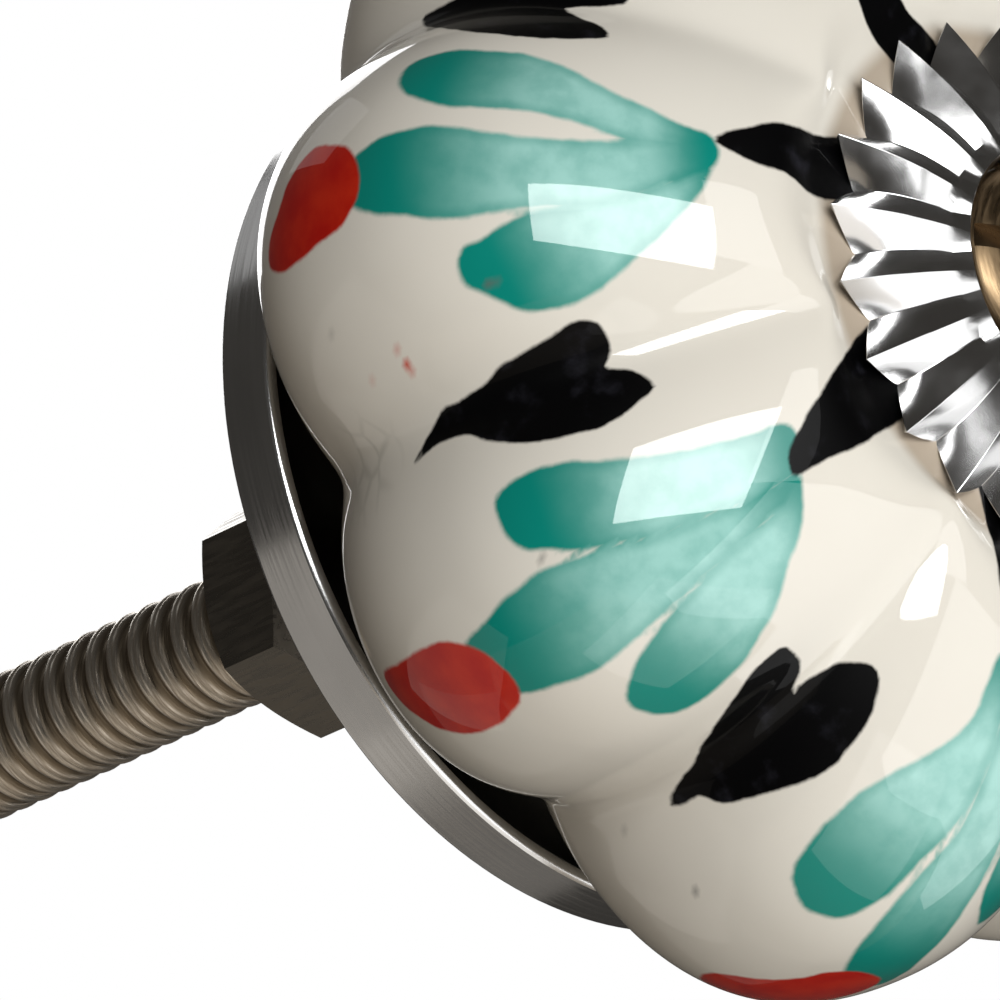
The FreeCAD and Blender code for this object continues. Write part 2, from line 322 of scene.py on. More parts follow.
def metal(name, colour, roughness, brushed=None):
    """A plated metal. brushed is a stretch for fine streaks in the object's own space."""
    shader = Shader(name)
    if brushed:
        streaks = shader.noise(1.0, 3.0, shader.stretch(brushed))
        shader.set(Roughness=shader.ramp(streaks, 0.3, 0.7, roughness * 0.7, roughness * 1.5))
        tint = shader.mix(shader.ramp(streaks, 0.35, 0.7, 0.0, 0.35), colour, METAL_GRIME)
        shader.set(Base_Color=tint, Normal=shader.bump(streaks, 0.25, 0.00003))
    else:
        cloud = shader.noise(400.0, 3.0)
        rough = shader.ramp(cloud, 0.3, 0.8, roughness * 0.7, roughness * 1.6)
        shader.set(Base_Color=colour, Roughness=rough)
    return shader.set(Metallic=1.0)


# Painting: brush marks laid over the glaze and kept as distances on its points.

# Each mark's outline runs through (lobes from its crest, degrees from the front's pole).
FAN_FIRST = (
    ((-0.21, 84.4), (-0.25, 84.2), (-0.27, 82.9), (-0.28, 80.2), (-0.27, 76.8), (-0.26, 73.5),
     (-0.23, 69.7), (-0.18, 65.9), (-0.14, 62.2), (-0.10, 58.3), (-0.07, 54.8), (0.00, 56.3),
     (-0.01, 60.6), (-0.03, 63.7), (-0.07, 68.0), (-0.09, 71.5), (-0.10, 74.9), (-0.11, 78.4),
     (-0.14, 81.3), (-0.17, 83.3)),
    ((-0.02, 88.4), (-0.06, 85.9), (-0.07, 83.2), (-0.07, 79.9), (-0.05, 76.4), (-0.03, 73.0),
     (-0.02, 68.8), (-0.02, 64.6), (-0.04, 61.0), (-0.08, 56.4), (-0.04, 54.5), (0.04, 55.2),
     (0.08, 58.4), (0.12, 62.2), (0.15, 66.7), (0.14, 71.0), (0.14, 74.3), (0.14, 77.7), (0.13, 80.4),
     (0.11, 83.0), (0.08, 86.4), (0.04, 88.5)),
    ((0.23, 79.1), (0.20, 78.2), (0.19, 76.5), (0.17, 74.3), (0.15, 71.8), (0.14, 67.5), (0.11, 62.1),
     (0.05, 57.4), (-0.03, 54.7), (0.07, 55.6), (0.15, 57.7), (0.23, 60.8), (0.27, 63.0), (0.31, 65.5),
     (0.34, 67.7), (0.36, 70.0), (0.36, 72.6), (0.35, 75.0), (0.32, 76.8), (0.29, 78.2), (0.27, 79.2)),
)
FAN_SECOND = (
    ((-0.28, 82.5), (-0.30, 81.6), (-0.31, 80.0), (-0.31, 77.8), (-0.30, 75.1), (-0.27, 72.0),
     (-0.24, 68.2), (-0.21, 64.2), (-0.18, 59.5), (-0.15, 54.6), (-0.06, 54.8), (-0.01, 56.5),
     (-0.02, 61.5), (-0.05, 65.8), (-0.06, 69.5), (-0.09, 72.9), (-0.12, 76.4), (-0.15, 78.8),
     (-0.17, 80.9), (-0.22, 82.3)),
    ((-0.05, 90.5), (-0.07, 88.6), (-0.08, 86.8), (-0.10, 84.7), (-0.11, 82.8), (-0.12, 80.2),
     (-0.11, 77.0), (-0.10, 73.9), (-0.07, 70.4), (-0.05, 65.8), (-0.03, 61.4), (-0.01, 56.5),
     (0.03, 57.3), (0.05, 61.1), (0.06, 65.0), (0.07, 68.5), (0.08, 71.3), (0.09, 74.2), (0.10, 77.1),
     (0.11, 80.4), (0.10, 83.5), (0.09, 85.9), (0.07, 88.5), (0.01, 90.7)),
    ((0.19, 80.4), (0.16, 78.9), (0.13, 76.7), (0.11, 74.6), (0.09, 72.1), (0.07, 68.9), (0.05, 64.6),
     (0.04, 60.4), (-0.01, 56.2), (0.06, 57.1), (0.13, 59.2), (0.18, 62.2), (0.24, 65.2), (0.27, 67.9),
     (0.30, 71.1), (0.31, 74.6), (0.31, 77.4), (0.29, 79.4), (0.25, 80.6), (0.22, 80.9)),
)
FAN_THIRD = (
    ((-0.25, 82.5), (-0.27, 80.8), (-0.28, 78.3), (-0.28, 75.4), (-0.27, 72.5), (-0.24, 69.6),
     (-0.20, 66.7), (-0.15, 63.8), (-0.12, 61.0), (-0.12, 57.5), (-0.12, 55.0), (-0.06, 55.0),
     (-0.03, 60.0), (-0.02, 65.0), (-0.02, 68.5), (-0.04, 71.2), (-0.06, 73.8), (-0.07, 76.1),
     (-0.08, 78.5), (-0.10, 80.7), (-0.12, 82.4), (-0.16, 83.4), (-0.20, 83.7)),
    ((0.02, 88.6), (-0.02, 85.9), (-0.04, 83.4), (-0.05, 80.4), (-0.05, 76.9), (-0.04, 73.9),
     (-0.02, 71.0), (-0.02, 66.0), (-0.03, 55.5), (0.04, 56.0), (0.08, 62.4), (0.12, 70.0), (0.13, 76.9),
     (0.14, 80.2), (0.14, 83.6), (0.15, 86.5), (0.14, 89.2), (0.08, 89.6)),
    ((0.21, 79.0), (0.17, 76.7), (0.15, 74.6), (0.13, 68.9), (0.08, 61.0), (0.00, 56.2), (0.10, 57.1),
     (0.20, 62.2), (0.27, 67.9), (0.32, 74.6), (0.31, 77.4), (0.28, 79.4), (0.24, 80.2)),
)
DOT_FIRST = (
    (0.06, 100.6), (0.02, 99.8), (-0.02, 97.9), (-0.07, 96.5), (-0.10, 94.7), (-0.11, 92.5),
    (-0.09, 89.9), (-0.06, 87.9), (-0.01, 86.9), (0.03, 86.8), (0.06, 87.7), (0.09, 89.4), (0.10, 92.2),
    (0.11, 95.1), (0.11, 98.2), (0.09, 100.2),
)
DOT_SECOND = (
    (-0.06, 103.2), (-0.07, 100.0), (-0.08, 96.2), (-0.08, 92.8), (-0.06, 90.2), (-0.02, 88.4),
    (0.03, 87.6), (0.07, 87.7), (0.09, 88.4), (0.11, 90.7), (0.12, 93.9), (0.11, 97.0), (0.08, 99.7),
    (0.05, 101.4), (0.01, 103.0), (-0.03, 103.8),
)
DOT_THIRD = (
    (-0.10, 101.0), (-0.12, 97.7), (-0.08, 94.2), (-0.04, 91.0), (-0.02, 88.4), (0.03, 86.8),
    (0.10, 87.5), (0.13, 90.3), (0.11, 94.0), (0.07, 98.0), (0.01, 101.5), (-0.05, 102.5),
)
HEART_FIRST = (
    (0.57, 92.7), (0.54, 91.6), (0.52, 90.6), (0.50, 89.4), (0.48, 87.8), (0.48, 85.9), (0.47, 83.6),
    (0.46, 81.6), (0.44, 79.5), (0.43, 77.0), (0.42, 74.3), (0.40, 72.0), (0.40, 70.6), (0.41, 69.4),
    (0.43, 68.9), (0.47, 69.0), (0.50, 69.5), (0.52, 70.0), (0.54, 68.1), (0.57, 66.6), (0.61, 65.6),
    (0.63, 67.0), (0.65, 69.2), (0.66, 71.6), (0.65, 74.1), (0.64, 76.4), (0.62, 79.7), (0.59, 82.8),
    (0.56, 85.0), (0.55, 87.5), (0.55, 89.5), (0.56, 91.3),
)
HEART_SECOND = (
    (0.53, 90.4), (0.51, 89.2), (0.49, 87.3), (0.47, 84.7), (0.44, 82.5), (0.40, 78.6), (0.37, 75.2),
    (0.34, 71.6), (0.34, 69.2), (0.35, 67.9), (0.40, 68.0), (0.44, 69.1), (0.46, 70.5), (0.48, 71.6),
    (0.48, 69.9), (0.50, 67.1), (0.53, 65.2), (0.57, 63.8), (0.60, 63.8), (0.63, 65.4), (0.65, 67.7),
    (0.65, 70.5), (0.65, 73.0), (0.63, 76.0), (0.61, 78.4), (0.59, 81.3), (0.57, 84.4), (0.54, 86.4),
    (0.54, 88.9),
)
HEART_THIRD = (
    (0.49, 90.4), (0.60, 84.1), (0.66, 78.4), (0.68, 72.5), (0.66, 68.1), (0.64, 66.9), (0.60, 68.0),
    (0.57, 70.5), (0.53, 72.9), (0.51, 70.0), (0.48, 67.2), (0.42, 67.5), (0.40, 71.0), (0.42, 76.0),
    (0.45, 82.0), (0.47, 87.0),
)
LEAF_FIRST = (
    (-0.07, 55.1), (-0.11, 53.4), (-0.15, 51.2), (-0.20, 48.6), (-0.26, 44.8), (-0.39, 39.9),
    (-0.47, 36.9), (-0.26, 35.7), (-0.08, 37.3), (0.01, 41.5), (0.01, 44.9), (-0.01, 47.4),
    (-0.01, 49.8), (-0.03, 52.5), (-0.05, 54.1),
)
LEAF_SECOND = (
    (-0.01, 56.7), (-0.06, 56.3), (-0.10, 54.7), (-0.15, 52.0), (-0.20, 49.0), (-0.28, 44.5),
    (-0.36, 40.1), (-0.30, 36.9), (-0.12, 36.8), (0.08, 38.4), (0.10, 42.7), (0.06, 45.9), (0.04, 49.1),
    (0.01, 52.5), (0.00, 55.2),
)
# Each lobe's marks, anticlockwise from the right in front view.
FANS = (FAN_FIRST, FAN_SECOND, FAN_THIRD, FAN_SECOND, FAN_FIRST, FAN_SECOND, FAN_THIRD, FAN_FIRST)
DOTS = (DOT_FIRST, DOT_SECOND, DOT_THIRD, DOT_FIRST, DOT_FIRST, DOT_SECOND, DOT_THIRD, DOT_SECOND)
HEARTS = (
    HEART_FIRST, HEART_SECOND, HEART_FIRST, HEART_THIRD, HEART_FIRST, HEART_SECOND, HEART_SECOND, HEART_THIRD,
)
LEAVES = (LEAF_FIRST, LEAF_SECOND, LEAF_FIRST, LEAF_FIRST, LEAF_FIRST, LEAF_SECOND, LEAF_FIRST, LEAF_SECOND)
# Stray specks: lobes round the body, degrees from the front's pole, radius in mm, strength and kind.
SPECKS = (
    (4.38, 88.4, 0.16, 1.0, "red"), (4.34, 88.2, 0.11, 0.5, "red"), (5.55, 97.3, 0.10, 0.6, "grey"),
    (5.69, 92.3, 0.09, 0.6, "grey"), (4.26, 94.3, 0.12, 0.5, "grey"), (4.28, 76.8, 0.16, 0.7, "grey"),
    (4.37, 93.4, 0.12, 0.3, "red"), (4.86, 79.9, 0.09, 0.5, "grey"), (4.53, 100.0, 1.3, 0.8, "crackle"),
)
OUTSIDE = 60 * MM
MARK_REACH = 1.2 * MM
NO_MARK = 9.0
TINY = 1e-18


def closed_curve(points, steps=5):
    """A soft closed curve through the given points."""
    rows = np.array(points, float)
    before, after, second = np.roll(rows, 1, 0), np.roll(rows, -1, 0), np.roll(rows, -2, 0)
    made = []
    for step in range(steps):
        t = step / steps
        square = (2 * before - 5 * rows + 4 * after - second) * t * t
        cube = (3 * rows - 3 * after + second - before) * t ** 3
        made.append(0.5 * (2 * rows + (after - before) * t + square + cube))
    return np.stack(made, 1).reshape(-1, 2)


def on_skin(skin, across, down, height, turn):
    """The place on the body at so many lobes round it and so many degrees from the front's pole."""
    core = Vector((0, -height, 0))
    around = math.radians(360 / LOBES * across + turn)
    lean = math.radians(down)
    aim = Vector((math.sin(lean) * math.cos(around), -math.cos(lean), math.sin(lean) * math.sin(around)))
    spot = skin.ray_cast(core + aim * OUTSIDE, -aim)[0]
    if spot is None:
        raise RuntimeError("a brush mark misses the body")
    return spot


def lay_mark(skin, places, lobe, outline, height, turn):
    """The points near a mark, their mm to its edge, less than zero inside, and their share along it."""
    line = closed_curve(outline)
    edge = np.array([on_skin(skin, lobe + across, down, height, turn) for across, down in line])
    middle = edge.mean(axis=0)
    limit = np.linalg.norm(edge - middle, axis=1).max() + MARK_REACH
    near = np.nonzero(np.linalg.norm(places - middle, axis=1) < limit)[0]
    axes = np.linalg.svd(edge - middle, full_matrices=False)[2][:2]
    flat = (edge - middle) @ axes.T
    spots = (places[near] - middle) @ axes.T
    best = np.full(len(near), np.inf)
    inside = np.zeros(len(near), bool)
    for start, stop in zip(flat, np.roll(flat, -1, 0)):
        step = stop - start
        share = np.clip((spots - start) @ step / max(step @ step, TINY), 0, 1)
        best = np.minimum(best, np.linalg.norm(spots - start - share[:, None] * step, axis=1))
        cross = (start[1] > spots[:, 1]) != (stop[1] > spots[:, 1])
        rise = step[1] if step[1] else TINY
        inside ^= cross & (spots[:, 0] < start[0] + step[0] * (spots[:, 1] - start[1]) / rise)
    outer = flat[np.argmax(line[:, 1])]
    inner = flat[np.argmin(line[:, 1])]
    run = inner - outer
    along = (spots - outer) @ run / (run @ run)
    return near, np.where(inside, -best, best) / MM, along


def lobed_reach(turn, fade):
    """Share of the full radius at an angle counted in lobes: one at a crest, less towards a groove."""
    lobe = math.floor(turn)
    share = turn - lobe
    middle = 0.5 + GROOVE_SHIFT[lobe % LOBES]
    if share < middle:
        share = 0.5 * share / middle
    else:
        share = 0.5 + 0.5 * (share - middle) / (1 - middle)
    soft = math.sqrt(GROOVE_SOFTNESS)
    swell = math.sqrt(math.cos(math.pi * share) ** 2 + GROOVE_SOFTNESS)
    swell = ((swell - soft) / (math.sqrt(1 + GROOVE_SOFTNESS) - soft)) ** GROOVE_POWER
    blend = (1 - math.cos(math.pi * (turn - lobe))) / 2
    big = 1 + LOBE_SWELL[lobe % LOBES] * (1 - blend) + LOBE_SWELL[(lobe + 1) % LOBES] * blend
    return big * (1 - GROOVE_DEPTH[lobe % LOBES] * fade * (1 - swell))


class KNOB_OT_ceramic(bpy.types.Operator):
    """Builds the lobed ceramic body with its glaze and painted strokes"""

    bl_idname = "knob.ceramic"
    bl_label = "Ceramic body"

    def rings(self, s):
        """(radius, height, share of the groove) from the bore's back to its front."""
        edge = 0.15 * MM
        rings = [(s.bore_radius, s.plate_floor + edge, 0.0), (s.bore_radius, s.plate_floor, 0.0)]
        rings += [(s.bore_radius + edge, s.plate_floor, 0.0), (s.foot_radius * 0.95, s.plate_floor, 0.8)]
        scale = s.belly_radius / DRAWN_BELLY
        for radius, height, fade in BACK_OUTLINE:
            rings.append((radius * scale, height * MM, fade))
        power = 2.07
        steps = 12
        last = math.acos((s.brow_radius / s.belly_radius) ** (power / 2))
        for step in range(steps + 1):
            turn = last * step / steps
            rise = (math.sin(turn) / math.sin(last)) ** (2 / power)
            radius = s.belly_radius * math.cos(turn) ** (2 / power)
            rings.append((radius, s.belly_height + (s.front_height - s.belly_height) * rise, 1.0))
        rings.append(((s.brow_radius + s.seat_radius) / 2, s.front_height - s.seat_depth * 0.2, 0.6))
        rings.append((s.seat_radius, s.front_height - s.seat_depth, 0.2))
        rings.append((s.seat_radius * 0.97, s.front_height - s.seat_depth, 0.1))
        for radius, sunk in ((s.bore_radius + edge, 0), (s.bore_radius, 0), (s.bore_radius, edge)):
            rings.append((radius, s.front_height - s.seat_depth - sunk, 0.0))
        return rings

    def execute(self, context):
        s = context.scene.knob_sizes
        rings = self.rings(s)
        body = pull_rings("ceramic_glazed", BODY_COLUMNS, [(r, z) for r, z, _ in rings], True)
        for column in range(BODY_COLUMNS):
            # The first circle starts at the top and runs anticlockwise.
            turn = LOBES / 4 - column * LOBES / BODY_COLUMNS
            for fade in sorted({f for _, _, f in rings if f}):
                chosen = [index for index, ring in enumerate(rings) if ring[2] == fade]
                select_places(body, [ring_index(BODY_COLUMNS, index, column) for index in chosen])
                reach = lobed_reach(turn, fade)
                bpy.ops.transform.resize(value=(reach, reach, 1), center_override=(0, 0, 0))
        outward(body)
        apply_modifier(body, "SUBSURF", levels=2, render_levels=2)
        material = self.glaze(context.scene.knob_colours)
        finish_piece(body, "ceramic_body", material, BODY_TURN)
        self.decorate(body, s.belly_height)
        return {"FINISHED"}

    def decorate(self, body, height):
        """Keeps each paint's distance, and each speck's strength, as a value on the body's points."""
        count = len(body.data.vertices)
        places = np.empty(count * 3)
        body.data.vertices.foreach_get("co", places)
        places = places.reshape(-1, 3)
        corners = [v.co for v in body.data.vertices]
        skin = BVHTree.FromPolygons(corners, [p.vertices for p in body.data.polygons])
        layers = {name: np.full(count, NO_MARK) for name in ("black", "red", "teal")}
        along = np.zeros(count)
        for lobe in range(LOBES):
            marks = [("teal", petal) for petal in FANS[lobe]]
            marks += [("red", DOTS[lobe]), ("black", HEARTS[lobe]), ("black", LEAVES[lobe])]
            for name, outline in marks:
                near, gap, far = lay_mark(skin, places, lobe, outline, height, BODY_TURN)
                if name == "teal":
                    deeper = gap < np.minimum(layers[name][near], 0.6)
                    along[near[deeper]] = far[deeper]
                layers[name][near] = np.minimum(layers[name][near], gap)
        for kind in ("red", "grey", "crackle"):
            layers["speck_" + kind] = np.zeros(count)
        for across, down, radius, strength, kind in SPECKS:
            middle = np.array(on_skin(skin, across, down, height, BODY_TURN))
            gap = np.linalg.norm(places - middle, axis=1)
            spot = np.clip(1.6 - gap / (radius * MM), 0, 1) * strength
            layers["speck_" + kind] = np.maximum(layers["speck_" + kind], spot)
        layers["along"] = along
        for name, values in layers.items():
            layer = body.data.attributes.new("paint_" + name, "FLOAT", "POINT")
            layer.data.foreach_set("value", values.astype(np.float32))

    def glaze(self, c):
        shader = Shader("glazed_body")
        ragged = shader.math("MULTIPLY", shader.math("SUBTRACT", shader.noise(1300.0, 3.0), 0.5), 0.18)
        brush = shader.noise(900.0, 4.0)
        cloud = shader.noise(120.0, 3.0)
        base = shader.mix(shader.ramp(cloud, 0.35, 0.75, 0.0, 0.25), c.glaze, (0.62, 0.57, 0.49))
        # Painted shadow of the rosette's raised teeth: a soft brown ring on the glaze just outside them,
        # centred on the rosette.
        x, _, z = shader.node("ShaderNodeSeparateXYZ", Vector=shader.place()).outputs
        z = shader.math("ADD", z, 0.55 * MM)
        reach = shader.reach(x, z)
        base = shader.mix(shader.ramp(reach, 8.7 * MM, 9.45 * MM, 0.6, 0.0), base, (0.24, 0.15, 0.07))
        cells = shader.node("ShaderNodeTexVoronoi", Vector=shader.stretch((1.0, 1.0, 0.45)), Scale=900.0)
        cells.feature = "DISTANCE_TO_EDGE"
        crack = shader.ramp(cells.outputs["Distance"], 0.0, 0.12, 0.27, 0.0)
        crack = shader.math("MULTIPLY", crack, shader.attribute("paint_speck_crackle"))
        base = shader.mix(crack, base, (0.16, 0.16, 0.12))

        def cover(name, soft):
            edge = shader.math("ADD", shader.attribute("paint_" + name), ragged)
            return shader.ramp(edge, -soft, soft, 1.0, 0.0)

        far = shader.attribute("paint_along")
        thin = shader.math("MULTIPLY", shader.ramp(far, 0.12, 0.55), shader.ramp(far, 0.98, 0.75))
        thin = shader.math("MULTIPLY", thin, shader.ramp(brush, 0.25, 0.7, 0.66, 1.0))
        petal = shader.mix(thin, c.teal, c.pale)
        rim = shader.ramp(shader.attribute("paint_teal"), -0.45, -0.05, 0.0, 0.35)
        petal = shader.mix(rim, petal, c.teal)
        colour = shader.mix(cover("teal", 0.11), base, petal)
        red = shader.mix(shader.ramp(brush, 0.3, 0.75, 0.0, 0.6), c.red, (0.62, 0.03, 0.006))
        colour = shader.mix(cover("red", 0.09), colour, red)
        black = shader.mix(shader.ramp(brush, 0.55, 0.85, 0.0, 0.5), c.black, (0.03, 0.03, 0.04))
        leaves = cover("black", 0.07)
        colour = shader.mix(leaves, colour, black)
        shader.set(Coat_Weight=shader.math("SUBTRACT", 1.0, shader.math("MULTIPLY", leaves, 0.85)))
        colour = shader.mix(shader.attribute("paint_speck_red"), colour, (0.55, 0.05, 0.02))
        colour = shader.mix(shader.attribute("paint_speck_grey"), colour, (0.12, 0.11, 0.10))
        wave = shader.bump(shader.noise(90.0, 2.0), 0.06, 0.0006)
        return shader.set(
            Base_Color=colour, Roughness=0.4, Specular_IOR_Level=0.06, Coat_Roughness=0.025,
            Coat_IOR=1.6, Normal=wave, Coat_Normal=wave,
        )


HOLE_RADIUS = 2.5 * MM
ROSETTE_TURN = 8.38
# The rosette sits a little off the bolt's axis, as in the photograph.
ROSETTE_SHIFT = (-0.074 * MM, -0.545 * MM, 0)


class KNOB_OT_rosette(bpy.types.Operator):
    """Builds the pressed rosette of flutes round the bolt's head"""

    bl_idname = "knob.rosette"
    bl_label = "Rosette"

    def execute(self, context):
        s = context.scene.knob_sizes
        flutes = 22
        per_flute = 8
        columns = flutes * per_flute
        seat = s.front_height - s.seat_depth
        top = 0.5 * MM
        edge = 0.15 * MM
        tilt = 0.5
        dome_power = 1.7
        rings = [(HOLE_RADIUS, seat + s.sheet), (s.flute_inner - edge, seat + s.sheet)]
        rings.append((s.flute_inner, seat + s.sheet + edge))
        rings.append((s.flute_inner, seat + s.flute_rise + top - edge))
        rings.append((s.flute_inner + edge, seat + s.flute_rise + top))
        first = len(rings)
        steps = 10
        for step in range(1, steps + 1):
            share = step / steps
            radius = s.flute_inner + (s.flute_outer - s.flute_inner) * (0.05 + 0.95 * share)
            rings.append((radius, seat + top + s.flute_rise * (1 - share ** dome_power)))
        rosette = pull_rings("rosette_pressed", columns, rings, False)
        for step in range(steps):
            share = (step + 1) / steps
            radius, height = rings[first + step]
            deep = min(tilt * radius * math.sin(math.pi / flutes), height - seat + 0.05 * MM)
            for part in range(1, per_flute):
                away = 1 - abs(part - per_flute / 2) / (per_flute / 2)
                marked = [ring_index(columns, first + step, f * per_flute + part) for f in range(flutes)]
                select_places(rosette, marked)
                bpy.ops.transform.translate(value=(0, 0, -deep * away))
                pull = 1 - (1 - s.flute_notch / s.flute_outer) * away * share ** 2
                bpy.ops.transform.resize(value=(pull, pull, 1), center_override=(0, 0, 0))
        clear_selection()
        rosette.select_set(True)
        bpy.ops.transform.translate(value=ROSETTE_SHIFT)
        bpy.ops.object.transform_apply(location=True, rotation=True, scale=True)
        outward(rosette)
        apply_modifier(rosette, "SOLIDIFY", thickness=0.2 * MM, offset=-1.0)
        apply_modifier(rosette, "BEVEL", width=0.05 * MM, segments=2, limit_method="ANGLE")
        material = metal("rosette_chrome", context.scene.knob_colours.chrome, 0.16)
        finish_piece(rosette, "front_rosette", material, ROSETTE_TURN, 14)
        apply_modifier(rosette, "WEIGHTED_NORMAL", keep_sharp=True, weight=100)
        return {"FINISHED"}


BOLT_COLUMNS = 96
THREAD_STEPS = 56
AXIS_RADIUS = 0.02 * MM
# One turn of the thread, from root to root: share of the depth and share of the pitch.
THREAD_SHAPE = (
    (0.0, 0.08), (0.3, 0.2), (0.75, 0.34), (0.95, 0.4), (1.0, 0.46), (0.95, 0.52), (0.8, 0.57), (0.78, 0.62),
    (0.8, 0.67), (0.55, 0.76), (0.2, 0.88), (0.0, 1.0),
)


class KNOB_OT_bolt(bpy.types.Operator):
    """Builds the threaded bolt with its slotted head"""

    bl_idname = "knob.bolt"
    bl_label = "Bolt"

    def thread(self, s):
        clear_selection()
        root = s.bolt_radius - s.thread_depth
        pitch = s.thread_pitch
        bpy.ops.mesh.primitive_plane_add(size=0.001, location=(0, 0, 0))
        thread = bpy.context.object
        thread.name = "bolt_thread"
        bpy.ops.object.mode_set(mode="EDIT")
        bpy.ops.mesh.select_all(action="SELECT")
        bpy.ops.mesh.merge(type="CENTER")
        start = -s.bolt_end + 0.5 * MM
        bpy.ops.transform.translate(value=(root, 0, start))
        at = (0.0, 0.0)
        for out, up in THREAD_SHAPE:
            step = ((out - at[0]) * s.thread_depth, 0, (up - at[1]) * pitch)
            bpy.ops.mesh.extrude_region_move(TRANSFORM_OT_translate={"value": step})
            at = (out, up)
        bpy.ops.object.mode_set(mode="OBJECT")
        turns = int((s.bolt_end + 0.2 * MM) / pitch)
        apply_modifier(
            thread, "SCREW", axis="Z", screw_offset=pitch, iterations=turns, steps=THREAD_STEPS,
            render_steps=THREAD_STEPS, use_merge_vertices=True, merge_threshold=1e-6,
        )
        outward(thread)
        return thread

    def plating(self, s, c):
        """Worn steel, with painted shade darkening the thread's roots so the crests stay bright, and painted
        shade on the head.
        """
        shader = Shader("bolt_steel")
        x, y, z = shader.node("ShaderNodeSeparateXYZ", Vector=shader.place()).outputs
        reach = shader.reach(x, z)
        crest = shader.ramp(reach, s.bolt_radius - 0.8 * s.thread_depth, s.bolt_radius - 0.1 * s.thread_depth)
        wear = shader.noise(1.0, 4.0, shader.stretch((900, 12000, 900)))
        tint = shader.mix(shader.ramp(wear, 0.35, 0.65, 0.0, 0.75), c.steel, (0.40, 0.33, 0.25))
        # Painted shade: the thread's roots turn dark brown, and the crests keep the steel's colour.
        tint = shader.mix(crest, (0.27, 0.22, 0.16), tint)
        # Painted shade: the head, sunk in the rosette's well, turns a dark golden brown.
        tint = shader.mix(shader.ramp(y, -0.0206, -0.0208), tint, (0.20, 0.14, 0.08))
        rough = shader.ramp(wear, 0.3, 0.7, 0.26, 0.5)
        bump = shader.bump(wear, 0.5, 0.00003)
        return shader.set(Base_Color=tint, Roughness=rough, Metallic=1.0, Normal=bump)

    def execute(self, context):
        s = context.scene.knob_sizes
        root = s.bolt_radius - s.thread_depth
        under = s.front_height - s.seat_depth + s.sheet
        tip = s.bolt_radius - 0.05 * MM
        hidden = root - 0.03 * MM
        edge = 0.1 * MM
        head_side = 0.55 * MM
        head_dome = 0.95 * MM
        head_top = under + 1.5 * MM
        rings = [
            (AXIS_RADIUS, -s.bolt_end),
            (s.bolt_radius - 0.45 * MM, -s.bolt_end),
            (tip, -s.bolt_end + 0.4 * MM),
            (tip, -s.bolt_end + 0.75 * MM),
            (hidden, -s.bolt_end + 0.95 * MM),
            (hidden, under - 0.02 * MM),
            (root, under),
            (s.head_radius - edge, under),
            (s.head_radius, under + edge),
            (s.head_radius, under + head_side),
        ]
        steps = 8
        for step in range(1, steps):
            lean = math.radians(90 * step / steps)
            height = under + head_side + head_dome * math.sin(lean)
            rings.append((s.head_radius * math.cos(lean) ** 0.8, height))
        rings.append((AXIS_RADIUS, head_top))
        core = pull_rings("bolt_turned", BOLT_COLUMNS, rings, False)
        close_ends(core, BOLT_COLUMNS, len(rings))
        outward(core)
        clear_selection()
        bpy.ops.mesh.primitive_cube_add(size=1, location=(0, 0, head_top))
        slot = bpy.context.object
        slot.dimensions = (10 * MM, 0.8 * MM, 1.4 * MM)
        bpy.ops.object.transform_apply(location=True, rotation=True, scale=True)
        cut_with(core, slot, "DIFFERENCE")
        bolt = join(core, self.thread(s))
        material = self.plating(s, context.scene.knob_colours)
        finish_piece(bolt, "bolt", material, 0.0, 40)
        return {"FINISHED"}


PLATE_COLUMNS = 192


class KNOB_OT_plate(bpy.types.Operator):
    """Builds the back plate, a shallow tray with a bevelled rim"""

    bl_idname = "knob.plate"
    bl_label = "Back plate"

    def plating(self, c):
        """Bright outside with fine streaks round the rim; painted shade inside the tray, near black on its
        floor and inner wall.
        """
        shader = Shader("plate_chrome")
        x, y, z = shader.node("ShaderNodeSeparateXYZ", Vector=shader.place()).outputs
        reach = shader.reach(x, z)
        front = shader.math("MULTIPLY", shader.ramp(y, -0.00205, -0.0019), shader.ramp(y, -0.0001, -0.0003))
        # Painted shade: the tray's floor and inner wall, in the gap under the ceramic, turn near black.
        inside = shader.math("MULTIPLY", shader.ramp(reach, 0.01508, 0.01504), front)
        streaks = shader.noise(1.0, 3.0, shader.stretch((150, 9000, 150)))
        cloud = shader.noise(300.0, 4.0)
        tone = shader.mix(shader.ramp(cloud, 0.35, 0.7, 0.0, 0.25), c.chrome, (0.50, 0.50, 0.50))
        shader.set(Base_Color=shader.mix(inside, tone, (0.035, 0.034, 0.032)))
        rough = shader.ramp(streaks, 0.3, 0.7, 0.13, 0.26)
        return shader.set(Roughness=rough, Metallic=1.0)

    def execute(self, context):
        s = context.scene.knob_sizes
        outer = s.plate_radius
        inner = outer - 0.5 * MM
        rim = s.plate_height
        bend = 0.14 * MM
        steps = 5
        rings = [(HOLE_RADIUS, 0.0), (outer - bend - 0.01 * MM, 0.0)]
        for step in range(steps + 1):
            lean = math.radians(90 * step / steps)
            rings.append((outer - bend + bend * math.sin(lean), bend - bend * math.cos(lean)))
        rings += [
            (outer, bend + 0.02 * MM),
            (outer, rim - 0.16 * MM),
            (outer - 0.03 * MM, rim - 0.11 * MM),
            (outer - 0.12 * MM, rim - 0.02 * MM),
            (outer - 0.17 * MM, rim),
            (inner + 0.1 * MM, rim),
            (inner, rim - 0.1 * MM),
            (inner, s.plate_floor + 0.25 * MM),
            (inner - 0.08 * MM, s.plate_floor + 0.08 * MM),
            (inner - 0.25 * MM, s.plate_floor),
            (HOLE_RADIUS, s.plate_floor),
        ]
        plate = pull_rings("plate_tray", PLATE_COLUMNS, rings, True)
        outward(plate)
        material = self.plating(context.scene.knob_colours)
        finish_piece(plate, "back_plate", material, 0.0, 30)
        return {"FINISHED"}


NUT_COLUMNS = 72
NUT_TURN = 44.0


